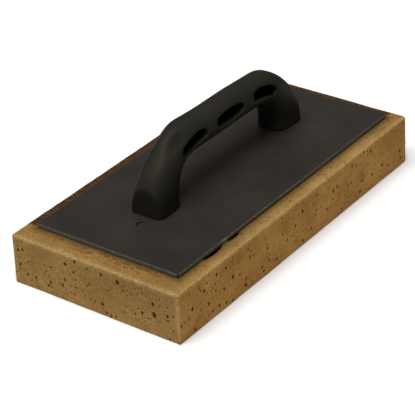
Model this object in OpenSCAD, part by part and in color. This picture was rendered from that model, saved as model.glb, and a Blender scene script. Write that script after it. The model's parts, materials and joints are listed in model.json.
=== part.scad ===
// Sponge grout float: a foam pad glued to a plastic backing plate, with a moulded
// bridge handle screwed on from below through the plate.
// Origin: middle of the pad's working face. +X along the pad, +Z up towards the handle.

/* [Sponge pad] */
// Length of the foam pad
pad_length = 280; // [220:5:340]
// Width of the foam pad
pad_width = 140; // [130:5:180]
// Thickness of the foam pad
pad_thickness = 38; // [20:1:60]

/* [Backing plate] */
// Length of the plate
plate_length = 254; // [210:1:254]
// Width of the plate
plate_width = 119; // [80:1:124]
// Thickness of the plate
plate_thickness = 3; // [2.6:0.1:5]
// Radius of the plate's corners
plate_corner_r = 2.5; // [1:0.5:8]
// How far the plate sits off the pad's middle, along the pad
plate_shift = 2.2; // [-3:0.1:3]
// Thickness of the glue film between the pad and the plate
film_thickness = 0.6; // [0.3:0.1:1.5]
// How far the glue film stops short of the plate's edge
film_margin = 2.5; // [1:0.5:8]

/* [Handle] */
// Half of the handle's length over its two end faces
handle_half = 85.5; // [83:0.1:86]
// How far the handle sits off the pad's middle, along the pad
handle_shift = 6.5; // [-6:0.5:7]
// How far the handle sits off the pad's middle, across the pad
handle_offset = 2.2; // [-3:0.1:3]
// Height of the grip's top above the plate, at its middle
grip_top = 51.6; // [50:0.2:54]
// Depth of the grip, from its top to its underside
grip_depth = 23.2; // [21:0.1:25]
// Width of the handle across the hand
grip_width = 24.4; // [20:0.1:25]
// How far each foot flares out past the grip, on each side
foot_flare = 0.8; // [0:0.1:1.5]
// Rise of the shoulder above the grip at the thumb end (-X)
thumb_shoulder_rise = 1.5; // [0:0.1:3]
// Rise of the shoulder above the grip at the other end (+X)
far_shoulder_rise = -1.4; // [-2:0.1:3]

/* [Grip pockets] */
// Height of each pocket cut into the sides of the grip
pocket_height = 8.8; // [5:0.1:10]
// Length of the straight pocket at the middle of the grip
pocket_length = 30.6; // [20:0.2:34]
// Thickness of the web left between opposite pockets
web_thickness = 3; // [2:0.1:6]

/* [Screws] */
// Shank diameter of the handle screws
screw_d = 4; // [3:0.1:4.5]
// Length of the handle screws, over the countersunk head
screw_length = 20; // [14:1:22]
// Distance between the two screws in one leg
screw_spacing = 13; // [10:0.5:14]

/* [Hidden] */
film_z = pad_thickness;
plate_z = film_z + film_thickness;
plate_top = plate_z + plate_thickness;

// Countersunk heads, their seats in the plate and the pilot holes in the legs
head_d = 2 * screw_d;
head_height = (head_d - screw_d) / 2;
screw_gap = 0.2;
head_recess = 0.1;
seat_d = head_d + 2 * screw_gap;
leg_centre = 72;
screw_x = [
    -leg_centre - screw_spacing / 2,
    -leg_centre + screw_spacing / 2,
    leg_centre - screw_spacing / 2,
    leg_centre + screw_spacing / 2
];
pilot_depth = screw_length - plate_thickness + 1.5;

// Small crescent mark pressed into the plate in front of the handle's thumb end
crescent_r = 3;
crescent_depth = 0.5;
crescent_at = [-88.3, -0.8];
crescent_shift = [-0.5, -1.2];

// The handle is a row of rounded sections. Each one is [outer x, outer z, inner x,
// inner z, half width, squareness]: outer is the point on the back of the hand's side,
// inner the one facing the finger gap, and squareness 2 is an ellipse. The list runs
// from the middle of the grip down one leg; x is measured from the handle's middle.
grip_bottom = grip_top - grip_depth;
half_w = grip_width / 2;
function half_sections(rise) = [
    [0, grip_top, 0, grip_bottom, half_w, 2.1],
    [16, grip_top + 0.1 * rise, 16, grip_bottom, half_w, 2.1],
    [30, grip_top + 0.6 * rise, 29, grip_bottom, half_w, 2.1],
    [42, grip_top + rise, 40, grip_bottom - 0.2, half_w, 2.1],
    [53.5, grip_top - 1.1 + 0.8 * rise, 47.5, grip_bottom - 2.2, half_w, 2.1],
    [62.7, grip_top - 6 + 0.6 * rise, 52.5, grip_bottom - 6, half_w, 2.2],
    [71.6, grip_top - 13.6, 55.2, grip_bottom - 11.5, half_w, 2.3],
    [80.6, grip_top - 23.6, 56.4, grip_bottom - 17, half_w, 2.5],
    [88, 16, 57, 6.5, half_w + 0.3 * foot_flare, 2.7],
    [92, 6, 57, 3, half_w + 0.8 * foot_flare, 2.9],
    [93, 0, 57, 0, half_w + foot_flare, 3]
];
function mirrored(s) = [-s[0], s[1], -s[2], s[3], s[4], s[5]];
thumb_half = half_sections(thumb_shoulder_rise);
far_half = half_sections(far_shoulder_rise);
last = len(far_half) - 1;
keys = concat([for (i = [last:-1:1]) mirrored(thumb_half[i])], far_half);

// Smooth curve through the key sections
steps = 3;
ring = 40;
function key(i) = keys[max(0, min(len(keys) - 1, i))];
function blend(a, b, c, d, t) =
    0.5 * (2 * b + (c - a) * t + (2 * a - 5 * b + 4 * c - d) * t * t
        + (3 * b - a - 3 * c + d) * t * t * t);
sections = concat(
    [for (i = [0:len(keys) - 2], k = [0:steps - 1])
        blend(key(i - 1), key(i), key(i + 1), key(i + 2), k / steps)],
    [keys[len(keys) - 1]]
);
function power(v, e) = sign(v) * pow(abs(v), 2 / e);
function ring_point(s, a) =
    let (u = power(cos(a), s[5]), v = power(sin(a), s[5]))
    [
        (s[0] + s[2]) / 2 + (s[0] - s[2]) / 2 * u,
        s[4] * v,
        (s[1] + s[3]) / 2 + (s[1] - s[3]) / 2 * u
    ];

// Shoulder pockets follow an arc that bends down with the grip
pocket_z = (grip_top + grip_bottom) / 2 + 1.4;
pocket_arc_r = 54;
pocket_arc_start = 31;
pocket_arc_angle = 23;

module rounded_slab(length, width, thickness, r) {
    translate([-length / 2 + r, -width / 2, 0]) cube([length - 2 * r, width, thickness]);
    translate([-length / 2, -width / 2 + r, 0]) cube([length, width - 2 * r, thickness]);
    for (x = [-1, 1], y = [-1, 1])
        translate([x * (length / 2 - r), y * (width / 2 - r), 0])
            cylinder(r = r, h = thickness, $fn = 32);
}

module sponge_pad() {
    color([0.65, 0.53, 0.33])
        translate([-pad_length / 2, -pad_width / 2, 0])
            cube([pad_length, pad_width, pad_thickness]);
}

module adhesive_film() {
    color([0.45, 0.38, 0.25])
        translate([plate_shift, 0, film_z])
            rounded_slab(
                plate_length - 2 * film_margin,
                plate_width - 2 * film_margin,
                film_thickness,
                plate_corner_r
            );
}

// Puts its children at each handle screw, at the plate's underside
module at_screws() {
    for (x = screw_x)
        translate([handle_shift + x, handle_offset, plate_z])
            children();
}

module screw_seat() {
    over = 1;
    translate([0, 0, -over])
        cylinder(d = screw_d + 2 * screw_gap, h = plate_thickness + 2 * over, $fn = 32);
    translate([0, 0, head_recess])
        cylinder(d1 = seat_d, d2 = seat_d - 2 * head_height, h = head_height, $fn = 32);
    translate([0, 0, -over]) cylinder(d = seat_d, h = over + head_recess, $fn = 32);
}

module crescent_mark() {
    translate([crescent_at[0], crescent_at[1], plate_top - crescent_depth])
        difference() {
            cylinder(r = crescent_r, h = 2 * crescent_depth, $fn = 40);
            translate([crescent_shift[0], crescent_shift[1], -crescent_depth])
                cylinder(r = crescent_r, h = 4 * crescent_depth, $fn = 40);
        }
}

module backing_plate() {
    color([0.2, 0.18, 0.17])
        difference() {
            translate([plate_shift, 0, plate_z])
                rounded_slab(plate_length, plate_width, plate_thickness, plate_corner_r);
            at_screws() screw_seat();
            crescent_mark();
        }
}

// The handle's outer skin, one closed tube of sections from foot to foot
module handle_skin() {
    n = len(sections);
    points = [for (s = sections, k = [0:ring - 1]) ring_point(s, 360 * k / ring)];
    sides = [for (i = [0:n - 2], k = [0:ring - 1])
        let (m = (k + 1) % ring)
        [i * ring + k, (i + 1) * ring + k, (i + 1) * ring + m, i * ring + m]];
    first_cap = [for (k = [0:ring - 1]) k];
    last_cap = [for (k = [ring - 1:-1:0]) (n - 1) * ring + k];
    polyhedron(points, concat(sides, [first_cap, last_cap]), convexity = 6);
}

module straight_pocket() {
    run = pocket_length - pocket_height;
    square([run, pocket_height], center = true);
    for (x = [-1, 1])
        translate([x * run / 2, 0]) circle(d = pocket_height, $fn = 32);
}

module shoulder_pocket() {
    outer_r = pocket_arc_r + pocket_height / 2;
    translate([pocket_arc_start, -pocket_arc_r]) {
        intersection() {
            difference() {
                circle(r = outer_r, $fn = 180);
                circle(r = outer_r - pocket_height, $fn = 180);
            }
            polygon([
                [0, 0],
                [0, 2 * outer_r],
                2 * outer_r * [sin(pocket_arc_angle), cos(pocket_arc_angle)]
            ]);
        }
        for (a = [0, pocket_arc_angle])
            translate(pocket_arc_r * [sin(a), cos(a)]) circle(d = pocket_height, $fn = 32);
    }
}

module pockets() {
    for (side = [-1, 1])
        translate([0, side * (web_thickness / 2 + grip_width / 2), pocket_z])
            rotate([90, 0, 0])
                linear_extrude(height = grip_width, center = true) {
                    straight_pocket();
                    shoulder_pocket();
                    mirror([1, 0]) shoulder_pocket();
                }
}

module handle() {
    tall = 2 * grip_top;
    color([0.17, 0.16, 0.15])
        translate([handle_shift, handle_offset, plate_top])
            difference() {
                intersection() {
                    handle_skin();
                    translate([-handle_half, -grip_width, 0])
                        cube([2 * handle_half, 2 * grip_width, tall]);
                }
                pockets();
                for (x = screw_x)
                    translate([x, 0, -1])
                        cylinder(d = screw_d + 2 * screw_gap, h = pilot_depth + 1, $fn = 32);
            }
}

module handle_screws() {
    color([0.62, 0.62, 0.6])
        at_screws()
            translate([0, 0, head_recess]) {
                cylinder(d1 = head_d, d2 = screw_d, h = head_height, $fn = 32);
                cylinder(d = screw_d, h = screw_length, $fn = 32);
            }
}

sponge_pad();
adhesive_film();
backing_plate();
handle();
handle_screws();
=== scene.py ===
import json
import math

import bpy
import numpy as np
from mathutils import Matrix, Vector
from mathutils.geometry import delaunay_2d_cdt

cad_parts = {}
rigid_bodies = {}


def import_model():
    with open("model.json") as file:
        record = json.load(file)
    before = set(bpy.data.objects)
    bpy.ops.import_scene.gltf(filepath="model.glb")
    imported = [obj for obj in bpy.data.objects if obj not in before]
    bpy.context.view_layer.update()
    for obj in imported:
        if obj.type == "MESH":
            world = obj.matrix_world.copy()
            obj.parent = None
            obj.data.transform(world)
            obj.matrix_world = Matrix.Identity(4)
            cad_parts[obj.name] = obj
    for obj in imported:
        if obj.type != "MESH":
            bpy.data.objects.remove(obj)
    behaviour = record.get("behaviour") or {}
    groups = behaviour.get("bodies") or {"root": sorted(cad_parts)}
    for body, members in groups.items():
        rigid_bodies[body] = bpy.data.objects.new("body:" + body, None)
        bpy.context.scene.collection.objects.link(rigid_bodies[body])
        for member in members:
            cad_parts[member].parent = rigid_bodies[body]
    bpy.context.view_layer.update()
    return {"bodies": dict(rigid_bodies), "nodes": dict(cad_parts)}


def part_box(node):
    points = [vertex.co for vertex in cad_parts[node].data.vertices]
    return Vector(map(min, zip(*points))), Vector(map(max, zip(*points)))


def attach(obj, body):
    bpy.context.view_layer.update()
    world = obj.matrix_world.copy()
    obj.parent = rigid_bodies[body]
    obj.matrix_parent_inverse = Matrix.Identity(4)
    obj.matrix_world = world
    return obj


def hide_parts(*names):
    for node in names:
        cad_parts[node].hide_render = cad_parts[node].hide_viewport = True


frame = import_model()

MM = 0.001
BODY = next(iter(frame["bodies"]))


# ---------------------------------------------------------------- small tools
def mm_box(node):
    """Lowest and highest corner of a CAD node."""
    lo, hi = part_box(node)
    return np.array(lo) / MM, np.array(hi) / MM


def mesh_piece(name, points, faces, materials, chosen=None, smooth=True):
    """A new object from points and faces. chosen gives each face's material."""
    mesh = bpy.data.meshes.new(name)
    mesh.from_pydata((np.asarray(points) * MM).tolist(), [], [list(map(int, f)) for f in faces])
    for material in materials:
        mesh.materials.append(material)
    if chosen is not None:
        mesh.polygons.foreach_set("material_index", np.asarray(chosen, np.int32))
    if smooth:
        mesh.shade_smooth()
    piece = bpy.data.objects.new(name, mesh)
    bpy.context.collection.objects.link(piece)
    return piece


def point_values(piece, name, values):
    """Stores one number per vertex, for the piece's material to read."""
    layer = piece.data.attributes.new(name, "FLOAT", "POINT")
    layer.data.foreach_set("value", np.asarray(values, np.float32))


def stand_for(piece, node):
    """Puts a piece in the place of a CAD node."""
    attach(piece, BODY)
    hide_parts(node)


def smooth_max(a, b, k):
    """The larger of two fields, rounded over where they cross."""
    return np.maximum(a, b) + np.maximum(k - np.abs(a - b), 0) ** 2 / (4 * k)


def smoothstep(v):
    """Rises softly from 0 at 0 to 1 at 1."""
    v = np.clip(v, 0, 1)
    return v * v * (3 - 2 * v)


def circle_turns(count):
    """Angles evenly spaced round a circle."""
    return np.arange(count) * 2 * math.pi / count


# ------------------------------------------------------------------ materials
class Nodes:
    """Short calls for building one material's node tree."""

    def __init__(self, name):
        self.material = bpy.data.materials.new(name)
        self.material.use_nodes = True
        self.tree = self.material.node_tree
        self.shader = self.tree.nodes["Principled BSDF"]
        self.coords = self.add("ShaderNodeTexCoord").outputs["Object"]

    def add(self, kind, **settings):
        node = self.tree.nodes.new(kind)
        for key, value in settings.items():
            setattr(node, key, value)
        return node

    def feed(self, socket, value):
        """Sets a socket to a number, a colour without its alpha, or another node's output."""
        if isinstance(value, bpy.types.NodeSocket):
            self.tree.links.new(value, socket)
        elif isinstance(value, tuple) and len(value) < len(socket.default_value):
            socket.default_value = (*value, 1.0)
        else:
            socket.default_value = value

    def put(self, name, value):
        """Feeds one of the shader's own sockets."""
        self.feed(self.shader.inputs[name], value)

    def stretch(self, scale):
        """Object coordinates, scaled along each axis."""
        node = self.add("ShaderNodeMapping")
        self.feed(node.inputs["Scale"], scale)
        self.feed(node.inputs["Vector"], self.coords)
        return node.outputs["Vector"]

    def noise(self, size_mm, detail=3.0, rough=0.55, vector=None, offset=0.0):
        node = self.add("ShaderNodeTexNoise", noise_dimensions="4D")
        self.feed(node.inputs["W"], offset)
        self.feed(node.inputs["Scale"], 1 / (size_mm * MM))
        self.feed(node.inputs["Detail"], detail)
        self.feed(node.inputs["Roughness"], rough)
        self.feed(node.inputs["Vector"], vector or self.coords)
        return node.outputs["Fac"]

    def cells(self, size_mm):
        node = self.add("ShaderNodeTexVoronoi", feature="F1")
        self.feed(node.inputs["Scale"], 1 / (size_mm * MM))
        self.feed(node.inputs["Vector"], self.coords)
        return node.outputs["Distance"]

    def spread(self, value, low, high, to_low=0.0, to_high=1.0):
        """Maps the range low to high onto another range, and clamps it there."""
        node = self.add("ShaderNodeMapRange")
        self.feed(node.inputs["Value"], value)
        self.feed(node.inputs["From Min"], low)
        self.feed(node.inputs["From Max"], high)
        self.feed(node.inputs["To Min"], to_low)
        self.feed(node.inputs["To Max"], to_high)
        return node.outputs["Result"]

    def clouds(self, size_mm, low, high, to_low=0.0, to_high=1.0, **settings):
        """Noise, spread over a range."""
        return self.spread(self.noise(size_mm, **settings), low, high, to_low, to_high)

    def times(self, a, b):
        node = self.add("ShaderNodeMath", operation="MULTIPLY")
        self.feed(node.inputs[0], a)
        self.feed(node.inputs[1], b)
        return node.outputs[0]

    def mix(self, factor, a, b, blend="MIX"):
        """Blends two colours. Inputs 6 and 7 are the mix node's colour sockets."""
        node = self.add("ShaderNodeMix", data_type="RGBA", blend_type=blend)
        self.feed(node.inputs[0], factor)
        self.feed(node.inputs[6], a)
        self.feed(node.inputs[7], b)
        return node.outputs[2]

    def stored(self, name):
        """A number that point_values stored on the mesh, or 0 where it has none."""
        return self.add("ShaderNodeAttribute", attribute_name=name).outputs["Fac"]

    def bump(self, height, depth_mm, strength=1.0, under=None):
        node = self.add("ShaderNodeBump")
        self.feed(node.inputs["Height"], height)
        self.feed(node.inputs["Distance"], depth_mm * MM)
        self.feed(node.inputs["Strength"], strength)
        if under is not None:
            self.feed(node.inputs["Normal"], under)
        return node.outputs["Normal"]


FOAM_LIGHT = (0.40, 0.250, 0.088)
FOAM_MID = (0.345, 0.205, 0.064)
FOAM_DEEP = (0.285, 0.162, 0.047)
FOAM_WARM = (0.27, 0.120, 0.022)
# Painted highlight for the pad's rounded edges
FOAM_EDGE_HIGHLIGHT = (0.56, 0.40, 0.17)
PORE_BROWN = (0.175, 0.078, 0.018)
PORE_DARK = (0.092, 0.034, 0.007)
STREAK_BROWN = (0.150, 0.066, 0.014)
# Painted shadow on the foam, behind the plate and inside the gaps under its edge
PAINTED_SHADOW_BROWN = (0.040, 0.017, 0.006)
# Painted contact shadow on the foam along the plate's edge
CONTACT_SHADOW_OLIVE = (0.095, 0.058, 0.018)
# Painted light: the front (-Y) side made lighter and warmer
FRONT_PAINTED_LIGHT = (1.25, 1.12, 0.90)
# Painted light: the up-facing foam toned a little darker and yellower
TOP_LIGHT_TINT = (0.94, 0.935, 0.86)
PLATE_BLACK = (0.0262, 0.0217, 0.0180)
# Painted light on the plate: a highlight along its top edge and a lighter side face
PLATE_EDGE_HIGHLIGHT = (0.110, 0.104, 0.092)
PLATE_SIDE_LIGHT = (0.135, 0.124, 0.082)
PLATE_LIGHT_SPOT = (0.34, 0.33, 0.30)
HANDLE_BLACK = (0.0170, 0.0154, 0.0112)
# Painted shade for the insides of hollows
HOLLOW_PAINTED_SHADE = (0.0010, 0.0009, 0.0006)
SHADE_BLACK = (0.0008, 0.0008, 0.0006)
SHADE_GREY = (0.0030, 0.0028, 0.0022)
DUST = (0.024, 0.022, 0.018)
PLASTIC_TINT = (1.0, 0.90, 0.76)
GLUE_DARK = (0.16, 0.09, 0.03)
GLUE_LIGHT = (0.30, 0.20, 0.08)
ZINC_DULL = (0.50, 0.50, 0.48)
ZINC_BRIGHT = (0.68, 0.67, 0.62)
FLOOR_DULL = (0.93, 0.93, 0.925)
FLOOR_WHITE = (0.95, 0.95, 0.95)


def foam_tone(m):
    """The foam's own uneven colour, grain and specks, with painted light: a lighter front, a toned
    top and a highlight on the edges.
    """
    broad = m.clouds(26, 0.35, 0.65, detail=2)
    tone = m.mix(broad, FOAM_DEEP, FOAM_LIGHT)
    patches = m.clouds(8, 0.36, 0.66, offset=4.0)
    tone = m.mix(m.times(patches, 0.65), tone, FOAM_MID)
    warm = m.clouds(11, 0.52, 0.74, detail=4, rough=0.65, offset=12.0)
    tone = m.mix(m.times(warm, m.stored("warm")), tone, FOAM_WARM)
    # Painted light: the front side lighter and warmer
    tone = m.mix(m.stored("front"), tone, FRONT_PAINTED_LIGHT, "MULTIPLY")
    # Painted light on the up-facing foam
    tone = m.mix(m.stored("rim"), tone, TOP_LIGHT_TINT, "MULTIPLY")
    # Painted highlight along the rounded edges, in patches
    highlight_patches = m.clouds(4.5, 0.35, 0.65, 0.55, 1.0, rough=0.6, offset=41.0)
    tone = m.mix(m.times(m.stored("edge"), highlight_patches), tone, FOAM_EDGE_HIGHLIGHT)
    grain = m.clouds(1.3, 0.34, 0.60, 0.50, 0.0, rough=0.7, offset=9.0)
    tone = m.mix(grain, tone, FOAM_DEEP, "MULTIPLY")
    return m.mix(m.spread(m.cells(1.9), 0.12, 0.24, 0.6, 0.0), tone, PORE_BROWN)


def foam_stains_and_shadows(m, tone):
    """Brown streaks, then painted shadow behind the plate and in its gaps, and painted contact shadow
    along its edge.
    """
    along_y = m.stretch((1.0, 0.45, 1.0))
    streaks = m.clouds(2.6, 0.48, 0.55, rough=0.6, vector=along_y, offset=31.0)
    tone = m.mix(m.times(streaks, m.stored("stained")), tone, STREAK_BROWN)
    wobble = m.clouds(2.2, 0.3, 0.6, 0.72, 1.0, detail=2, offset=2.0)
    # Painted shadow behind the plate and in the gaps under its edge
    tone = m.mix(m.times(m.stored("glue"), wobble), tone, PAINTED_SHADOW_BROWN)
    # Painted contact shadow along the plate's edge
    return m.mix(m.times(m.stored("contact_shadow"), wobble), tone, CONTACT_SHADOW_OLIVE)


def foam_material():
    m = Nodes("foam")
    tone = foam_stains_and_shadows(m, foam_tone(m))
    pore = m.stored("pore")
    # Painted shade inside the pores, darker in the deeper ones
    tone = m.mix(m.spread(pore, 0.05, 0.5), tone, PORE_BROWN)
    tone = m.mix(m.spread(pore, 0.5, 1.0), tone, PORE_DARK)
    m.put("Base Color", tone)
    m.put("Roughness", m.clouds(1.5, 0.3, 0.7, 0.86, 1.0, offset=1.0))
    m.put("Specular IOR Level", 0.1)
    cell_walls = m.bump(m.cells(0.9), 0.22, 0.35)
    lumps = m.bump(m.noise(2.4, detail=4, rough=0.6, offset=6.0), 0.5, 0.4, under=cell_walls)
    m.put("Normal", lumps)
    return m.material


def plastic_tone(m, colour):
    """Dark plastic, cloudy and a little dusty."""
    shade = m.clouds(32, 0.3, 0.7, 0.8, 1.2)
    cloudy = m.add("ShaderNodeVectorMath", operation="SCALE")
    cloudy.inputs[0].default_value = colour
    m.feed(cloudy.inputs["Scale"], shade)
    dust = m.clouds(1.6, 0.58, 0.80, 0.0, 0.30, detail=4, rough=0.7, offset=3.0)
    return m.mix(dust, cloudy.outputs[0], DUST)


def plate_painted_light(m, tone):
    """Painted light on the plate: a lighter side, a highlight along the top edge with bright specks,
    and a small light spot.
    """
    patchy = m.clouds(5, 0.35, 0.6, 0.6, 1.0, detail=4, rough=0.7, offset=14.0)
    # Painted light on the plate's side face
    tone = m.mix(m.times(m.stored("side"), patchy), tone, PLATE_SIDE_LIGHT)
    # Painted highlight along the plate's top edge
    tone = m.mix(m.times(m.stored("edge"), patchy), tone, PLATE_EDGE_HIGHLIGHT)
    edge_specks = m.clouds(1.7, 0.60, 0.68, rough=0.6, offset=21.0)
    tone = m.mix(m.times(m.stored("edge"), edge_specks), tone, PLATE_LIGHT_SPOT)
    return m.mix(m.stored("light_spot"), tone, PLATE_LIGHT_SPOT)


def moulded_finish(m, tone, rough, gloss, grain_mm, grain_depth_mm):
    """The sheen and the fine spark-eroded grain of moulded plastic."""
    m.put("Base Color", tone)
    sheen = m.clouds(14, 0.3, 0.7, rough - 0.06, rough + 0.06, detail=4, offset=8.0)
    m.put("Roughness", sheen)
    m.put("Specular IOR Level", gloss)
    m.put("Specular Tint", PLASTIC_TINT)
    grain = m.bump(m.noise(grain_mm, detail=2, rough=0.6, offset=5.0), grain_depth_mm, 0.6)
    m.put("Normal", m.bump(m.noise(9, detail=2, offset=7.0), 0.05, 0.5, under=grain))
    return m.material


def plate_material():
    m = Nodes("plate_plastic")
    tone = plate_painted_light(m, plastic_tone(m, PLATE_BLACK))
    return moulded_finish(m, tone, rough=0.46, gloss=0.24, grain_mm=0.55, grain_depth_mm=0.03)


def handle_material():
    m = Nodes("handle_plastic")
    # Painted shade darkens the plastic towards the inside of the pockets
    tone = m.mix(m.stored("hollow"), plastic_tone(m, HANDLE_BLACK), HOLLOW_PAINTED_SHADE)
    return moulded_finish(m, tone, rough=0.62, gloss=0.22, grain_mm=0.5, grain_depth_mm=0.07)


def shadowed_material():
    """Painted shade: the rough, unlit inside of a hollow in the moulding, coloured near black."""
    m = Nodes("painted_shade_inside")
    m.put("Base Color", m.mix(m.noise(3, detail=3), SHADE_BLACK, SHADE_GREY))
    m.put("Roughness", m.clouds(4, 0.3, 0.7, 0.85, 1.0, offset=2.0))
    m.put("Specular IOR Level", 0.05)
    m.put("Normal", m.bump(m.noise(1.2, detail=3, offset=5.0), 0.1, 0.5))
    return m.material


def glue_material():
    m = Nodes("glue")
    m.put("Base Color", m.mix(m.clouds(5, 0.35, 0.65), GLUE_DARK, GLUE_LIGHT))
    m.put("Roughness", m.clouds(3, 0.3, 0.7, 0.3, 0.6, offset=2.0))
    m.put("Normal", m.bump(m.noise(2.5, detail=3, offset=5.0), 0.3, 0.6))
    return m.material


def zinc_material():
    m = Nodes("zinc")
    m.put("Base Color", m.mix(m.clouds(1.5, 0.3, 0.7, detail=4), ZINC_DULL, ZINC_BRIGHT))
    m.put("Metallic", 1.0)
    m.put("Roughness", m.clouds(0.8, 0.3, 0.7, 0.25, 0.45, offset=2.0))
    m.put("Normal", m.bump(m.noise(0.3, offset=5.0), 0.02, 0.5))
    return m.material


def floor_material():
    m = Nodes("floor")
    m.put("Base Color", m.mix(m.noise(60, detail=2), FLOOR_DULL, FLOOR_WHITE))
    m.put("Roughness", 0.9)
    m.put("Specular IOR Level", 0.1)
    return m.material


# ------------------------------------------------------------ shared mesh making
AXES = np.eye(3, dtype=int)

# How many random values lattice_noise has each way before it repeats
LATTICE = (31, 31, 31)


def spaced(lo, hi, step):
    """Even places from lo to hi, about a step apart."""
    return np.linspace(lo, hi, max(2, int(round((hi - lo) / step)) + 1))


def grid(lo, hi, step):
    """A flat grid of points over a rectangle, its border among them."""
    columns, rows = spaced(lo[0], hi[0], step), spaced(lo[1], hi[1], step)
    return np.stack(np.meshgrid(columns, rows), -1).reshape(-1, 2)


def triangulated(points):
    """Delaunay triangles over 2D points, with the points that they use."""
    made = delaunay_2d_cdt([Vector(p) for p in points.tolist()], [], [], 0, 1e-6)
    return np.array([tuple(v) for v in made[0]]), np.array(made[2])


def welded(points, faces):
    """Joins the points that lie on one another."""
    _, first, same = np.unique(points.round(4), axis=0, return_index=True, return_inverse=True)
    return points[first], same.reshape(-1)[faces]


def cell_corners(field, low, part):
    """For places in a grid's cells, each corner of the cell: its value and its weight. low
    is the cell's first corner and part the place's share of the way across the cell."""
    for corner in np.ndindex(2, 2, 2):
        index = tuple((low + corner).T % np.array(field.shape)[:, None])
        yield field[index], np.prod(np.where(corner, part, 1 - part), axis=1)


def lattice_noise(points, size, seed):
    """Smooth random lumps from -1 to 1, about size across."""
    values = np.random.default_rng(seed).uniform(-1, 1, LATTICE)
    low = np.floor(points / size).astype(int)
    part = smoothstep(points / size - low)
    return sum(value * weight for value, weight in cell_corners(values, low, part))


# ------------------------------------------------------------------- the sponge
# Places on the pad are measured from its middle, which is over the frame's origin
PAD_LO, PAD_HI = mm_box("sponge_pad")
PAD_MID = (PAD_LO + PAD_HI) / 2
PAD_HALF = (PAD_HI - PAD_LO) / 2
PLATE_LO, PLATE_HI = mm_box("backing_plate")
PLATE_MID = (PLATE_LO + PLATE_HI) / 2
PLATE_HALF = (PLATE_HI - PLATE_LO) / 2
FILM_THICKNESS = PLATE_LO[2] - PAD_HI[2]
TOP_EDGE_R = 2.4
BOTTOM_EDGE_R = 0.9

# Distances between the mesh's points: where it shows, round the gaps, on the underside
# and under the plate
FOAM_GRID = 0.95
GAP_GRID = 0.4
UNDERSIDE_GRID = 2.4
COVERED_GRID = 4.0

# Fine points reach this far in under the plate's edge, and in from the underside's edges.
# Coarse ones start the last distance in from the pad's sides
UNDER_PLATE = 4
UNDERSIDE_BORDER = 3.5
COARSE_INSET = 4

# The foam's unevenness: the height, size and seed of each layer of lumps
LUMPS = [(0.22, 21, 1), (0.09, 3.4, 2), (0.06, 1.5, 3)]

# The pad has come away from the plate in two short gaps along the front edge. Each lobe has
# its middle and half length along the edge, and its reach out past the plate
GAP_LOBES = [(-87.5, 10.5, 1.9), (-64.5, 7.0, 1.5)]
GAP_DEPTH = 3.0
GAP_INWARD = 9

# The larger pores, listed one by one: [first place, second place, half width, half height]
# on each side of the pad
LEFT_PORES = [
    [-21, 12, 1.4, 2.0], [-50, -3, 1.5, 2.5], [23, 11, 1.1, 1.6], [64, -3, 0.9, 1.2],
    [58, -9, 0.8, 1.3], [51, -9, 0.9, 1.1], [40, -12, 1.0, 1.2], [27, -7, 1.0, 1.7],
    [36, 4, 0.8, 1.1], [-61, 0, 1.0, 1.4],
]
FRONT_PORES = [
    [2, 8, 1.0, 1.7], [-7, 1, 0.8, 1.4], [-98, 12, 1.0, 1.6], [-112, 7, 1.1, 1.6],
    [-108, -5, 1.0, 1.5], [-91, -3, 0.9, 1.4], [-89, -15, 1.0, 1.4], [-104, -13, 1.1, 1.3],
    [-61, 5, 0.9, 1.5], [51, -15, 0.9, 1.3], [92, -7, 1.1, 1.8], [106, -6, 1.0, 1.6],
    [20, 12, 0.8, 1.3], [-124, -16, 1.2, 1.3], [-46, -14, 0.9, 1.3],
]
TOP_PORES = [
    [-127, 2, 0.6, 1.5], [-129, -7, 0.5, 2.0], [-131, -21, 0.6, 2.3], [-130, -26, 0.5, 1.6],
    [-134, -6, 0.5, 1.1], [-127, 36, 0.7, 1.0], [97, -63, 1.0, 0.6],
    [12, -63, 0.9, 0.6], [47, -64, 0.9, 0.6], [-58, -62, 1.1, 0.7],
]

# Each side of the pad: its axis and end, the listed pores, and how many more
# distinct and faint ones are strewn over it
PAD_SIDES = [
    (2, 1, TOP_PORES, 0, 70),
    (2, -1, [], 110, 160),
    (0, -1, LEFT_PORES, 30, 95),
    (1, -1, FRONT_PORES, 46, 150),
    (0, 1, [], 40, 95),
    (1, 1, [], 62, 150),
]
PORE_SEED = 17
FLOCK_SEED = 5
FLOCK_SIZE = 24

# Half widths of the strewn pores. The distinct ones are mostly near the small end
DISTINCT_SMALL = 0.75
DISTINCT_SPREAD = 0.65
FAINT_SIZES = (0.42, 0.7)

# Depths of the chosen, distinct and faint pores, for a pore of size 1
CHOSEN_DEPTH = 1.2
DISTINCT_DEPTHS = (0.7, 1.2)
FAINT_DEPTH = 0.8

# Strewn pores keep the margin from the side's edges, and this many times their reach from
# one another
PORE_MARGIN = 1.6
PORE_SPACING = 1.25

# Each pore has rings of points of its own, the last one a lip outside it, and more of them
# when its half width is large. The side's grid keeps the clearance from every pore
LARGE_PORE = 0.55
PORE_LIP = 0.22
PORE_CLEARANCE = 0.3

# How far the foam's marks spread: the painted shadow strip behind the plate, the painted contact
# shadow along the plate's edge, the warm tint and the streaks on the short rim at -X
SHADOW_STRIP_WIDTH = 13.5
CONTACT_SHADOW_WIDTH = 3.4
WARM_WIDTH = 7
STREAK_WIDTH = 9
STREAK_MIDDLE_Y = -12
STREAK_HALF = 45


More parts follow.
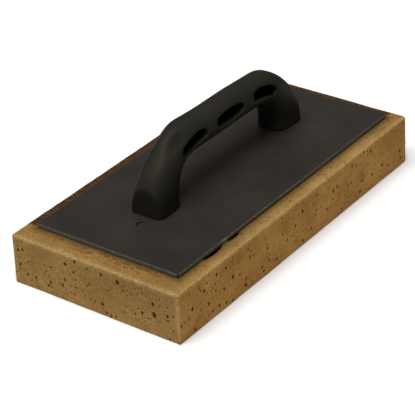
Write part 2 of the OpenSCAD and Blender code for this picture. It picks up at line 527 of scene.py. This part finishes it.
class PadSide:
    """One flat side of the pad's box, before its edges are rounded."""

    def __init__(self, axis, sign):
        self.axis = axis
        self.sign = sign
        self.across = [a for a in range(3) if a != axis]
        self.lo = -PAD_HALF[self.across]
        self.hi = PAD_HALF[self.across]
        self.level = axis == 2
        self.top = self.level and sign > 0

    def on_border(self, flat):
        return ((flat <= self.lo + 1e-6) | (flat >= self.hi - 1e-6)).any(axis=1)

    def hidden(self, p, q):
        """Whether this place is under the plate, or close to its edge."""
        away = np.abs([p - PLATE_MID[0], q - PLATE_MID[1]])
        return self.top and (away < PLATE_HALF[:2] + 1.5).all()

    def placed(self, flat):
        """Puts flat points on this side of the box."""
        solid = np.zeros((len(flat), 3))
        solid[:, self.across] = flat
        solid[:, self.axis] = self.sign * PAD_HALF[self.axis]
        return solid

    def facing_out(self, solid, triangles):
        """Turns over the triangles that face into the pad."""
        first, second, third = (solid[triangles[:, k]] for k in range(3))
        inward = np.cross(second - first, third - first)[:, self.axis] * self.sign < 0
        triangles[inward] = triangles[inward][:, ::-1]
        return triangles

    def pit(self, p, q, a, b, depth):
        """A pore as a hollow in the box: its middle, half sizes and depth."""
        size = np.full(3, max(a, b))
        size[self.across] = a, b
        return self.placed(np.array([[p, q]]))[0], size, depth


def gap_depth(x, y):
    """How far the pad's top lies below the plate, in the gaps along the front edge."""
    depth = np.zeros(len(x))
    for middle, half, reach in GAP_LOBES:
        lens = np.maximum(1 - ((x - middle) / half) ** 2, 0)
        inward = y - (PLATE_LO[1] - reach * np.sqrt(lens))
        lobe = smoothstep(4 * lens) * smoothstep(inward) * smoothstep((GAP_INWARD - inward) / 5)
        depth = np.maximum(depth, GAP_DEPTH * lobe)
    return depth


def jittered(rng, points, share, step):
    """Moves points by up to a share of their grid's step."""
    return points + rng.uniform(-share, share, points.shape) * step


def fine_round_gaps(flat):
    """Swaps the points round the two gaps, along the plate's front edge, for a finer grid."""
    lo = np.array([min(x - half for x, half, _ in GAP_LOBES), PLATE_LO[1] - 3])
    hi = np.array([max(x + half for x, half, _ in GAP_LOBES), PLATE_LO[1] + 1])
    outside = ((flat < lo) | (flat > hi)).any(axis=1)
    return np.concatenate([flat[outside], grid(lo + 0.1, hi - 0.1, GAP_GRID)])


def side_grid(rng, side):
    """Points over one side: fine where it shows, coarser under the plate and below."""
    flat = grid(side.lo, side.hi, FOAM_GRID)
    moved = jittered(rng, flat, 0.25, FOAM_GRID)
    flat = np.where(side.on_border(flat)[:, None], flat, moved)
    if not side.level:
        return flat
    step = COVERED_GRID if side.top else UNDERSIDE_GRID
    coarse = grid(side.lo + COARSE_INSET, side.hi - COARSE_INSET, step)
    coarse = jittered(rng, coarse, 0.2, step)
    if not side.top:
        near_edge = (np.abs(flat) > PAD_HALF[:2] - UNDERSIDE_BORDER).any(axis=1)
        return np.concatenate([flat[near_edge], coarse])
    under = PLATE_HALF[:2] - UNDER_PLATE
    shown = (np.abs(flat - PLATE_MID[:2]) > under).any(axis=1)
    covered = (np.abs(coarse - PLATE_MID[:2]) < under - 1).all(axis=1)
    return fine_round_gaps(np.concatenate([flat[shown], coarse[covered]]))


def pore_list(rng, side, chosen, distinct, faint):
    """Pores on one side: [place, place, half sizes, depth], none running into another.
    They gather in flocks, and on the flanks they stand upright and are commoner low down."""
    pores = [[p, q, a, b, CHOSEN_DEPTH * min(a, b)] for p, q, a, b in chosen]
    target = len(pores) + distinct + faint
    while len(pores) < target:
        deep = len(pores) < target - faint
        p, q = rng.uniform(side.lo + PORE_MARGIN, side.hi - PORE_MARGIN)
        if deep:
            size = DISTINCT_SMALL + DISTINCT_SPREAD * rng.random() ** 2
        else:
            size = rng.uniform(*FAINT_SIZES)
        a, b = size * rng.uniform(0.8, 1.05), size * rng.uniform(1.0, 1.6)
        if side.level:
            a, b = b, a
        place = np.array([[p, q, 0.0 if side.level else 40.0]])
        flock = lattice_noise(place, FLOCK_SIZE, FLOCK_SEED)[0]
        low_down = (side.hi[1] - q) / (side.hi[1] - side.lo[1])
        chance = 0.45 + 0.4 * flock + 0.3 * low_down
        if rng.random() > chance or side.hidden(p, q):
            continue
        reach = max(a, b)
        if all(math.hypot(p - o[0], q - o[1]) > PORE_SPACING * (reach + max(o[2:4])) for o in pores):
            depth = rng.uniform(*DISTINCT_DEPTHS) if deep else FAINT_DEPTH
            pores.append([p, q, a, b, size * depth])
    return np.array(pores)


def ellipse(p, q, a, b, turn):
    """Points round the place (p, q), with half sizes a and b."""
    return np.c_[p + a * np.cos(turn), q + b * np.sin(turn)]


def pore_rings(p, q, a, b):
    """Points for one pore: its middle, rings across the bowl and one ring just outside."""
    large = a > LARGE_PORE
    count = 12 if large else 8
    turn = circle_turns(count)
    rings = [[[p, q]]]
    for k, scale in enumerate((0.45, 0.75, 1.0) if large else (0.6, 1.0)):
        rings.append(ellipse(p, q, a * scale, b * scale, turn + k * math.pi / count))
    rings.append(ellipse(p, q, a + PORE_LIP, b + PORE_LIP, turn))
    return np.concatenate(rings)


def pitted_side(side, points, pores):
    """The grid points clear of the pores, with the pores' own points."""
    clear = np.ones(len(points), bool)
    border = side.on_border(points)
    for p, q, a, b, _ in pores:
        away = (points - [p, q]) / [a + PORE_CLEARANCE, b + PORE_CLEARANCE]
        clear &= (np.hypot(*away.T) > 1.15) | border
    rings = np.concatenate([pore_rings(*pore[:4]) for pore in pores])
    inside = ((rings > side.lo + 0.1) & (rings < side.hi - 0.1)).all(axis=1)
    return np.concatenate([points[clear], rings[inside]])


def pad_box(rng):
    """The pad's box as a mesh with points for its pores, and the pores as hollows."""
    points, faces, pits = [], [], []
    start = 0
    for axis, sign, chosen, distinct, faint in PAD_SIDES:
        side = PadSide(axis, sign)
        flat = side_grid(rng, side)
        pores = pore_list(rng, side, chosen, distinct, faint)
        flat, triangles = triangulated(pitted_side(side, flat, pores))
        solid = side.placed(flat)
        points.append(solid)
        faces.append(side.facing_out(solid, triangles) + start)
        pits += [side.pit(*pore) for pore in pores]
        start += len(solid)
    box, faces = welded(np.concatenate(points), np.concatenate(faces))
    return box, faces, pits


def rounded_pad(points):
    """Rounds the edges of points on the pad's box: crisp below, softer above."""
    rise = (points[:, 2:] + PAD_HALF[2]) / (2 * PAD_HALF[2])
    radius = BOTTOM_EDGE_R + (TOP_EDGE_R - BOTTOM_EDGE_R) * smoothstep(rise)
    core = np.clip(points, radius - PAD_HALF, PAD_HALF - radius)
    normal = points - core
    normal /= np.linalg.norm(normal, axis=1, keepdims=True)
    return core + radius * normal, normal


def pore_hollows(skin, pits):
    """How deep the pores sink each point, and how much of the pores' painted shade it takes, more in
    deeper pores. A pore is deepest over its inner half, and its painted shade reaches just past its
    ragged rim."""
    sunk = np.zeros(len(skin))
    pore = np.zeros(len(skin))
    ragged = 1 + 0.16 * lattice_noise(skin, 0.9, 8)
    for centre, size, depth in pits:
        near = np.flatnonzero((np.abs(skin - centre) < 1.6 * size.max()).all(axis=1))
        reach = np.linalg.norm((skin[near] - centre) / size, axis=1) * ragged[near]
        drop = 1 - smoothstep((reach - 0.5) / 0.55)
        sunk[near] = np.maximum(sunk[near], depth * drop)
        tint = 1 - smoothstep((reach - 0.75) / 0.4)
        pore[near] = np.maximum(pore[near], tint * min(1, depth / 0.9))
    return sunk, pore


def past_plate(skin):
    """How far each point is outside the plate's outline, negative under the plate."""
    return (np.abs(skin[:, :2] - PLATE_MID[:2]) - PLATE_HALF[:2]).max(axis=1)


def shaped_pad(skin, normal, sunk, gap):
    """Makes the pad uneven, sinks its pores and gaps, and lifts its top onto the plate's
    underside at the plate's edge. Nothing swells into the plate or the floor."""
    past = past_plate(skin)
    up, down = normal[:, 2] > 0.9, normal[:, 2] < -0.5
    covered = up & (past < 0.5)
    swell = sum(height * lattice_noise(skin, size, seed) for height, size, seed in LUMPS)
    swell[covered] = -0.25 * np.abs(swell[covered])
    swell[down] = -0.5 * np.abs(swell[down])
    shaped = skin + normal * (swell - sunk)[:, None]
    fade_in = smoothstep(1 + np.minimum(past, 0) / 2.2)
    fade_out = np.exp(-(np.maximum(past, 0) / 1.8) ** 2)
    shaped[:, 2] += FILM_THICKNESS * fade_in * fade_out * (up & (gap < 0.1)) - gap
    return shaped


def painted_edge_highlight(skin, normal):
    """Painted highlight on the pad's rounded edges: how strong it is, fading out towards the floor.
    """
    ridge = np.clip((1 - np.abs(normal).max(axis=1)) / (1 - math.sqrt(0.5)), 0, 1)
    from_edge = np.sort(PAD_HALF - np.abs(skin), axis=1)[:, 1]
    pale = np.maximum(0.8 * ridge, 0.5 * np.exp(-(from_edge / 2.6) ** 2))
    return pale * smoothstep((skin[:, 2] + PAD_HALF[2]) / 6)


def glue_strip(skin):
    """Painted shadow: the dark strip on the pad's top behind the plate and past its far end."""
    behind = np.maximum(skin[:, 1] - (PLATE_HI[1] - 1), skin[:, 0] - (PLATE_HI[0] - 1))
    along = np.minimum(skin[:, 0] - PLATE_LO[0], skin[:, 1] - PLATE_LO[1])
    return smoothstep(behind / 1.5) * smoothstep(along / 3) * smoothstep((SHADOW_STRIP_WIDTH - behind) / 4)


def pad_paint(skin, normal, pore, gap):
    """The numbers that the foam's material reads at each point."""
    off = np.maximum(past_plate(skin), 0)
    on_top = skin[:, 2] > PAD_HALF[2] - 1.5
    facing_up = smoothstep(normal[:, 2])
    front = smoothstep(-normal[:, 1])
    low_down = smoothstep(0.6 - skin[:, 2] / PAD_HALF[2])
    left_rim = smoothstep((PLATE_LO[0] + 4 - skin[:, 0]) / 4)
    left_rim *= smoothstep((STREAK_HALF - np.abs(skin[:, 1] - STREAK_MIDDLE_Y)) / 12)
    # The front term is painted warm light on the front side. The rest is the foam's own warm patches
    warm = 0.35 + 0.3 * low_down + 0.35 * front + 0.9 * facing_up * np.exp(-off / WARM_WIDTH)
    return {
        "pore": pore,
        # Painted highlight on the rounded edges
        "edge": painted_edge_highlight(skin, normal),
        # Painted shade: the dark strip behind the plate and the dark insides of the gaps
        "glue": np.maximum(on_top * glue_strip(skin), smoothstep(gap / 2)),
        # Painted contact shadow next to the plate's edge
        "contact_shadow": on_top * np.exp(-(off / CONTACT_SHADOW_WIDTH) ** 2),
        "warm": warm,
        # Painted light on the front side
        "front": front,
        "stained": facing_up * left_rim * np.exp(-(off / STREAK_WIDTH) ** 2),
        # Painted light: how much each point faces up
        "rim": smoothstep(normal[:, 2] * 1.6 - 0.6),
    }


def sponge():
    box, faces, pits = pad_box(np.random.default_rng(PORE_SEED))
    skin, normal = rounded_pad(box)
    sunk, pore = pore_hollows(skin, pits)
    gap = np.where(skin[:, 2] > 0, gap_depth(skin[:, 0], skin[:, 1]), 0)
    shaped = shaped_pad(skin, normal, sunk, gap)
    piece = mesh_piece("foam_pad", shaped + PAD_MID, faces, [foam_material()])
    for name, values in pad_paint(skin, normal, pore, gap).items():
        point_values(piece, name, values)
    stand_for(piece, "sponge_pad")


# -------------------------------------------------------------------- the plate
PLATE_CORNER_R = 2.5
PLATE_EDGE_R = 0.55

# Each face has a ring of points this far inside its rim, which keeps the painted edge highlight
# narrow, and a grid that starts at the inset
EDGE_BAND = 0.25
PLATE_GRID = 6
GRID_INSET = 4

# A small light spot on the plate's front edge, between the two gaps
LIGHT_SPOT_X = -74.3
LIGHT_SPOT_HALF = 1.2

# The crescent is a disc with the same disc, moved by the shift, taken away. Its wall is the
# width over which it falls to its depth
CRESCENT_AT = np.array([-88.3, -0.8])
CRESCENT_R = 3.0
CRESCENT_SHIFT = np.array([-0.5, -1.2])
CRESCENT_DEPTH = 0.5
CRESCENT_WALL = 0.35
CRESCENT_GRID = 0.16


def crescent(flat):
    """Distance from the crescent's outline, negative inside it."""
    outer = np.linalg.norm(flat - CRESCENT_AT, axis=1) - CRESCENT_R
    inner = CRESCENT_R - np.linalg.norm(flat - CRESCENT_AT - CRESCENT_SHIFT, axis=1)
    return np.maximum(outer, inner)


def plate_outline(inset):
    """The plate's rounded rectangle, smaller by the inset, as points in order: each
    quarter is the corner's arc, turned, and the straight side to the next corner."""
    turn = np.linspace(0, math.pi / 2, 9)
    corner = np.c_[np.cos(turn), np.sin(turn)] * (PLATE_CORNER_R - inset)
    core = PLATE_HALF[:2] - PLATE_CORNER_R
    middles = core * [[1, 1], [-1, 1], [-1, -1], [1, -1]]
    outline = []
    for quarter, (middle, following) in enumerate(zip(middles, np.roll(middles, -1, axis=0))):
        c, s = round(math.cos(quarter * math.pi / 2)), round(math.sin(quarter * math.pi / 2))
        arc = corner @ np.array([[c, s], [-s, c]]) + middle
        steps = int(core[quarter % 2] / 2)
        straight = arc[-1] + (following - middle) * np.linspace(0, 1, steps)[1:-1, None]
        outline += [arc, straight]
    return np.concatenate(outline) + PLATE_MID[:2]


def plate_wall():
    """The plate's rounded edge: rings of points from below to above, and its faces."""
    turns = np.linspace(0, math.pi / 2, 5)
    profile = [(PLATE_EDGE_R * (1 - math.sin(a)), PLATE_EDGE_R * (1 - math.cos(a))) for a in turns]
    levels = [(inset, PLATE_LO[2] + rise) for inset, rise in profile]
    levels += [(inset, PLATE_HI[2] - rise) for inset, rise in profile[::-1]]
    rings = []
    for inset, z in levels:
        outline = plate_outline(inset)
        rings.append(np.c_[outline, np.full(len(outline), z)])
    count = len(rings[0])
    faces = []
    for level in range(len(rings) - 1):
        a = level * count + np.arange(count)
        b = level * count + (np.arange(count) + 1) % count
        faces += [np.c_[a, b, b + count], np.c_[a, b + count, a + count]]
    return rings, np.concatenate(faces)


def plate_face(rim, top):
    """One flat face of the plate within its rim, the top one with the crescent in it."""
    inner = grid(PLATE_LO[:2] + GRID_INSET, PLATE_HI[:2] - GRID_INSET, PLATE_GRID)
    if top:
        reach = CRESCENT_R + 1
        clear = (np.abs(inner - CRESCENT_AT) > reach).any(axis=1)
        fine = CRESCENT_AT + grid([-reach, -reach], [reach, reach], CRESCENT_GRID)
        inner = np.concatenate([inner[clear], fine])
    close = plate_outline(PLATE_EDGE_R + EDGE_BAND)
    flat, triangles = triangulated(np.concatenate([rim[:, :2], close, inner]))
    z = np.full(len(flat), rim[0, 2])
    if not top:
        return np.c_[flat, z], triangles[:, ::-1]
    z -= CRESCENT_DEPTH * smoothstep(0.5 - crescent(flat) / CRESCENT_WALL)
    return np.c_[flat, z], triangles


def plate_paint(points):
    """The numbers that the plate's material reads at each point."""
    from_edge = (np.abs(points - PLATE_MID) - PLATE_HALF)[:, :2].max(axis=1)
    at_edge = smoothstep(1 + from_edge / (PLATE_EDGE_R + 0.2))
    above = smoothstep((points[:, 2] - PLATE_HI[2]) / PLATE_EDGE_R + 1.3)
    light_spot = np.exp(-((points[:, 0] - LIGHT_SPOT_X) / LIGHT_SPOT_HALF) ** 2) * (points[:, 1] < PLATE_MID[1])
    # Painted highlight on the top edge and painted light on the side face
    return {"light_spot": light_spot * at_edge, "edge": at_edge * above, "side": at_edge * (1 - above)}


def plate():
    rings, wall = plate_wall()
    start = sum(len(ring) for ring in rings)
    under, under_faces = plate_face(rings[0], top=False)
    over, over_faces = plate_face(rings[-1], top=True)
    faces = np.concatenate([wall, under_faces + start, over_faces + start + len(under)])
    points, faces = welded(np.concatenate([*rings, under, over]), faces)
    middle = points[faces].mean(axis=1)
    # The crescent's faces take the painted shade material, for the shade in its recess
    in_crescent = (crescent(middle[:, :2]) < 0.1) & (middle[:, 2] > PLATE_MID[2])
    materials = [plate_material(), shadowed_material()]
    piece = mesh_piece("plate", points, faces, materials, in_crescent)
    for name, values in plate_paint(points).items():
        point_values(piece, name, values)
    stand_for(piece, "backing_plate")


# ------------------------------------------------------------------- the handle
# Places on the handle are measured from the middle of its foot line, on the plate's top
HANDLE_LO, HANDLE_HI = mm_box("handle")
HANDLE_HALF = (HANDLE_HI[0] - HANDLE_LO[0]) / 2
HANDLE_AT = np.append((HANDLE_HI + HANDLE_LO)[:2] / 2, HANDLE_LO[2])
FOOT_FLARE = 0.8
HALF_W = (HANDLE_HI[1] - HANDLE_LO[1]) / 2 - FOOT_FLARE
GRIP_TOP = 51.6
GRIP_BOTTOM = 28.4
THUMB_RISE = 1.5
FAR_RISE = -1.4
SECTION_STEPS = 10

# How the feet are rounded: along the soles, round the end faces, and more at the front
# edge of the end faces, low down
SOLE_R = 0.5
END_FACE_R = 0.9
LOW_EDGE_R = 3.6
LOW_EDGE_TOP = 18

# Three pockets in each side: one straight at the middle, one bending down at each shoulder.
# They narrow by the taper at their ends
POCKET_Z = (GRIP_TOP + GRIP_BOTTOM) / 2 + 1.4
POCKET_HEIGHT = 7.9
POCKET_TAPER = 0.9
POCKET_LENGTH = 31.0
POCKET_ARC_R = 54
POCKET_ARC_START = 31
POCKET_ARC_ANGLE = math.radians(23)
POCKET_FLOOR_R = 2.0
POCKET_RIM_R = 2.2
WEB = 3.0

# Faces this far past a pocket's outline, and this far in from the side, count as its inside and get
# the painted shade
POCKET_LIP = 0.6
POCKET_SHADE_FROM = 3.6

# A shallow oval dish for the thumb on each side of the shoulder at -X: its place, its long
# axis, the way it faces, its half sizes and how deep it goes. These are for the +Y side
DISH_AT = (-56, 8.0, 46.9)
DISH_ALONG = (1, 0, 0.6)
DISH_FACING = (-0.35, 0.75, 0.55)
DISH_SIZE = (16, 6.5, 4)
DISH_DEPTH = 1.3
DISH_RIM_R = 3.4

VOXEL = 0.6
END_MARGIN = 4 * VOXEL
SIDE_MARGIN = 5 * VOXEL


def half_sections(rise):
    """The handle's sections from the middle of the grip down one leg: outer x and z,
    inner x and z, half width, squareness. The last one is below the plate's top, where
    the handle is cut off."""
    top, low = GRIP_TOP, GRIP_BOTTOM
    return np.array([
        [0, top, 0, low, HALF_W, 2.1],
        [16, top + 0.1 * rise, 16, low, HALF_W, 2.1],
        [30, top + 0.6 * rise, 29, low, HALF_W, 2.1],
        [42, top + rise, 40, low - 0.2, HALF_W, 2.1],
        [53.5, top - 1.1 + 0.8 * rise, 47.5, low - 2.2, HALF_W, 2.1],
        [62.7, top - 6 + 0.6 * rise, 52.5, low - 6, HALF_W, 2.2],
        [71.6, top - 13.6, 55.2, low - 11.5, HALF_W, 2.3],
        [80.6, top - 23.6, 56.4, low - 17, HALF_W, 2.5],
        [88, 16, 57, 6.5, HALF_W + 0.3 * FOOT_FLARE, 2.7],
        [92, 6, 57, 3, HALF_W + 0.8 * FOOT_FLARE, 2.9],
        [93, 0, 57, 0, HALF_W + FOOT_FLARE, 3],
        [93, -6, 57, -6, HALF_W + FOOT_FLARE, 3],
    ])


def handle_sections():
    """All sections from foot to foot, on a smooth curve through the key ones."""
    thumb = half_sections(THUMB_RISE)[:0:-1] * [-1, 1, -1, 1, 1, 1]
    keys = np.concatenate([thumb, half_sections(FAR_RISE)])
    padded = np.concatenate([keys[:1], keys, keys[-1:]])
    a, b, c, d = (padded[k:len(padded) - 3 + k] for k in range(4))
    rows = []
    for t in np.arange(SECTION_STEPS) / SECTION_STEPS:
        rows.append(0.5 * (2 * b + (c - a) * t + (2 * a - 5 * b + 4 * c - d) * t * t
                           + (3 * b - a - 3 * c + d) * t ** 3))
    return np.concatenate([np.stack(rows, 1).reshape(-1, 6), keys[-1:]])


def section_map(x, z):
    """For places in the handle's middle plane: how far out along its section each is
    (-1 to 1 inside), and the section's half depth, half width and squareness."""
    sections = handle_sections()
    outer, inner = sections[:, 0:2], sections[:, 2:4]
    place = np.c_[x.ravel(), z.ravel()]
    # Places that no section passes through stay far outside a thick one
    far_out, thick = 9.0, 12.0
    best = np.full(len(place), far_out)
    kept = np.tile([thick, HALF_W, 2.1], (len(place), 1))
    for i in range(len(sections) - 1):
        side = [np.cross(inner[k] - outer[k], place - outer[k]) for k in (i, i + 1)]
        hit = np.flatnonzero(side[0] * side[1] <= 0)
        share = (side[0][hit] / (side[0][hit] - side[1][hit] + 1e-12))[:, None]
        row = sections[i] * (1 - share) + sections[i + 1] * share
        half = (row[:, 0:2] - row[:, 2:4]) / 2
        middle = (row[:, 0:2] + row[:, 2:4]) / 2
        out = ((place[hit] - middle) * half).sum(1) / (half ** 2).sum(1)
        better = np.abs(out) < np.abs(best[hit])
        best[hit[better]] = out[better]
        kept[hit[better]] = np.c_[np.linalg.norm(half, axis=1), row[:, 4:]][better]
    return [v.reshape(x.shape) for v in (best, *kept.T)]


def swept_body(flat_x, flat_z, y):
    """The row of rounded sections as a field, with its slope evened out to about 1."""
    out, depth, width, square = (v[:, None, :] for v in section_map(flat_x, flat_z))
    side = np.abs(y)[None, :, None] / width
    body = ((np.abs(out) ** square + side ** square) ** (1 / square) - 1) * np.minimum(depth, width)
    slope = np.sqrt(sum(g ** 2 for g in np.gradient(body, VOXEL)))
    return body / np.clip(slope, 0.5, 1.6)


def cut_feet(body, x, y, z):
    """Cuts the feet off flat at the handle's ends and at the plate's top."""
    low_front = smoothstep((LOW_EDGE_TOP - z) / 14) * smoothstep(-y / HALF_W)
    body = smooth_max(body, np.abs(x) - HANDLE_HALF, END_FACE_R + LOW_EDGE_R * low_front)
    return smooth_max(body, -z, SOLE_R)


def thumb_dish(x, y, z, hand):
    """The dish on one side, hand being 1 for the +Y side and -1 for the other, as a field
    that is negative inside it."""
    at, along, normal = (np.array(v) * [1, hand, 1] for v in (DISH_AT, DISH_ALONG, DISH_FACING))
    normal = normal / np.linalg.norm(normal)
    along = along - normal * (along @ normal)
    along = along / np.linalg.norm(along)
    across = np.cross(normal, along)
    at = at + normal * (DISH_SIZE[2] - DISH_DEPTH)
    gap = np.stack([x - at[0], y - at[1], z - at[2]], -1)
    reach = np.sqrt(sum((gap @ axis / s) ** 2 for axis, s in zip((along, across, normal), DISH_SIZE)))
    return (reach - 1) * DISH_SIZE[2]


def pocket_distance(x, z):
    """Distance from the outlines of the three pockets in the handle's side."""
    end_r = POCKET_HEIGHT / 2 - POCKET_TAPER
    run = POCKET_LENGTH / 2 - end_r
    middle = np.hypot(np.maximum(np.abs(x) - run, 0), z - POCKET_Z)
    middle += POCKET_TAPER * np.clip(np.abs(x) / run, 0, 1) ** 3
    dx, dz = np.abs(x) - POCKET_ARC_START, z - (POCKET_Z - POCKET_ARC_R)
    angle = np.clip(np.arctan2(dx, dz), 0, POCKET_ARC_ANGLE)
    shoulder = np.hypot(dx - POCKET_ARC_R * np.sin(angle), dz - POCKET_ARC_R * np.cos(angle))
    shoulder += POCKET_TAPER * np.abs(2 * angle / POCKET_ARC_ANGLE - 1) ** 3
    return np.minimum(middle, shoulder) - POCKET_HEIGHT / 2


def handle_field():
    """The handle as a field on a grid, negative inside, and the grid's first corner."""
    x = np.arange(-HANDLE_HALF - END_MARGIN, HANDLE_HALF + END_MARGIN, VOXEL)
    y = np.arange(-HALF_W - SIDE_MARGIN, HALF_W + SIDE_MARGIN, VOXEL)
    z = np.arange(-END_MARGIN, GRIP_TOP + THUMB_RISE + SIDE_MARGIN, VOXEL)
    grid_x, grid_y, grid_z = np.meshgrid(x, y, z, indexing="ij")
    flat_x, flat_z = grid_x[:, 0], grid_z[:, 0]
    body = cut_feet(swept_body(flat_x, flat_z, y), grid_x, grid_y, grid_z)
    for hand in (-1, 1):
        body = smooth_max(body, -thumb_dish(grid_x, grid_y, grid_z, hand), DISH_RIM_R)
    outline = pocket_distance(flat_x, flat_z)[:, None]
    pocket = smooth_max(outline, WEB / 2 - np.abs(grid_y), POCKET_FLOOR_R)
    return smooth_max(body, -pocket, POCKET_RIM_R), np.array([x[0], y[0], z[0]])


def sampled(field, at):
    """Reads a grid between its points."""
    at = np.clip(at, 0, np.array(field.shape) - 1.001)
    low = np.floor(at).astype(int)
    return sum(value * weight for value, weight in cell_corners(field, low, at - low))


def crossing_means(field, cells):
    """In each cell, the mean of the places where the zero level crosses its edges."""
    total, count = np.zeros((len(cells), 3)), np.zeros(len(cells))
    for axis, step in enumerate(AXES):
        others = [a for a in range(3) if a != axis]
        for p, q in np.ndindex(2, 2):
            offset = np.zeros(3, int)
            offset[others] = p, q
            a, b = cells + offset, cells + offset + step
            va, vb = field[tuple(a.T)], field[tuple(b.T)]
            hit = (va < 0) != (vb < 0)
            total[hit] += a[hit] + step * (va[hit] / (va[hit] - vb[hit]))[:, None]
            count[hit] += 1
    return total / count[:, None]


def drawn_onto_level(field, points):
    """Moves points along the field's slope onto its zero level, a little at a time."""
    slopes = np.gradient(field)
    for _ in range(4):
        slope = np.stack([sampled(g, points) for g in slopes], 1)
        move = sampled(field, points)[:, None] * slope / (slope ** 2).sum(1, keepdims=True)
        points = points - np.clip(move, -0.4, 0.4)
    return points


def net_faces(inside, number):
    """A quad for each grid edge that the surface crosses, between the points of the four
    cells round the edge. number says which point each cell has."""
    faces = []
    for axis, step in enumerate(AXES):
        u, v = AXES[(axis + 1) % 3], AXES[(axis + 2) % 3]
        head = tuple(slice(1, n - s) for n, s in zip(inside.shape, step))
        tail = tuple(slice(1 + s, n) for n, s in zip(inside.shape, step))
        at = np.argwhere(inside[head] != inside[tail]) + 1
        quad = np.stack([number[tuple((at - d).T)] for d in (0 * u, u, u + v, v)], 1)
        leaving = inside[tuple(at.T)]
        quad[~leaving] = quad[~leaving][:, ::-1]
        faces.append(quad)
    return np.concatenate(faces)


def surface_net(field):
    """A closed mesh of quads on the field's zero level, in grid steps, with one point in
    each cell that the level passes through."""
    inside = field < 0
    shape = np.array(field.shape) - 1
    corners = sum(inside[i:i + shape[0], j:j + shape[1], k:k + shape[2]].astype(np.int8)
                  for i, j, k in np.ndindex(2, 2, 2))
    cells = np.argwhere((corners > 0) & (corners < 8))
    number = np.full(shape, -1)
    number[tuple(cells.T)] = np.arange(len(cells))
    return drawn_onto_level(field, crossing_means(field, cells)), net_faces(inside, number)


def handle():
    field, origin = handle_field()
    points, faces = surface_net(field)
    points = points * VOXEL + origin
    middle = points[faces].mean(axis=1)
    # The pockets' insides get the painted shade material
    in_pocket = pocket_distance(middle[:, 0], middle[:, 2]) < POCKET_LIP
    in_pocket &= np.abs(middle[:, 1]) < HALF_W - POCKET_SHADE_FROM
    materials = [handle_material(), shadowed_material()]
    piece = mesh_piece("bridge_handle", points + HANDLE_AT, faces, materials, in_pocket)
    # Painted shade that deepens into the pockets
    within = smoothstep(0.8 - pocket_distance(points[:, 0], points[:, 2]) / 1.2)
    below_rim = smoothstep((HALF_W - POCKET_LIP - np.abs(points[:, 1])) / 1.6)
    point_values(piece, "hollow", within * below_rim)
    stand_for(piece, "handle")


# ------------------------------------------------------------- light and camera
# The camera's place and turns were fitted to the pad's corners in the photograph
CAMERA_AT = (-0.8518, -0.6523, 0.6519)
CAMERA_AZIMUTH = -52.10
CAMERA_ELEVATION = 30.91
CAMERA_ROLL = -3.23
CAMERA_LENS = 152.72

WHITE = (1.0, 0.995, 0.985, 1.0)
BACKDROP = 1.05
AMBIENT = 0.06
FLOOR_RADIUS = 320

# Each light: strength, spread in degrees and the way it comes from
SUNS = {
    "overhead": (3.4, 48, (-0.27, -0.02, 1.0)),
    "backlight": (0.08, 60, (0.68, 0.53, 0.62)),
}


def camera():
    lens = bpy.data.cameras.new("camera")
    lens.lens = CAMERA_LENS
    lens.sensor_width = 36
    seen = bpy.data.objects.new("camera", lens)
    turn = Matrix.Rotation(math.radians(CAMERA_AZIMUTH), 4, "Z")
    tilt = Matrix.Rotation(math.radians(90 - CAMERA_ELEVATION), 4, "X")
    roll = Matrix.Rotation(math.radians(CAMERA_ROLL), 4, "Z")
    seen.matrix_world = Matrix.Translation(CAMERA_AT) @ turn @ tilt @ roll
    bpy.context.collection.objects.link(seen)
    bpy.context.scene.camera = seen


def studio_floor():
    count = 96
    turn = circle_turns(count)
    rim = np.c_[np.cos(turn), np.sin(turn), np.zeros(count)] * FLOOR_RADIUS
    floor = mesh_piece("floor", rim, [range(count)], [floor_material()], smooth=False)


def white_light(node, strength):
    node.inputs["Color"].default_value = WHITE
    node.inputs["Strength"].default_value = strength
    return node.outputs[0]


def backdrop():
    """A bright white behind the object that lights it only a little."""
    world = bpy.data.worlds.new("studio")
    world.use_nodes = True
    tree = world.node_tree
    lit = white_light(tree.nodes.new("ShaderNodeBackground"), AMBIENT)
    shown = white_light(tree.nodes["Background"], BACKDROP)
    either = tree.nodes.new("ShaderNodeMixShader")
    tree.links.new(tree.nodes.new("ShaderNodeLightPath").outputs["Is Camera Ray"], either.inputs[0])
    tree.links.new(lit, either.inputs[1])
    tree.links.new(shown, either.inputs[2])
    tree.links.new(either.outputs[0], tree.nodes["World Output"].inputs["Surface"])
    bpy.context.scene.world = world
    view = bpy.context.scene.view_settings
    view.view_transform = "Standard"
    view.look = "None"


def sun(name, strength, spread, source):
    light = bpy.data.lights.new(name, "SUN")
    light.energy = strength
    light.angle = math.radians(spread)
    lamp = bpy.data.objects.new(name, light)
    lamp.rotation_euler = Vector(source).to_track_quat("Z", "Y").to_euler()
    bpy.context.collection.objects.link(lamp)


def cad_material(node, material):
    """Gives a CAD node that stays visible its material."""
    slots = frame["nodes"][node].data.materials
    slots.clear()
    slots.append(material)


camera()
studio_floor()
backdrop()
for name, settings in SUNS.items():
    sun(name, *settings)
sponge()
plate()
handle()
cad_material("adhesive_film", glue_material())
cad_material("handle_screws", zinc_material())
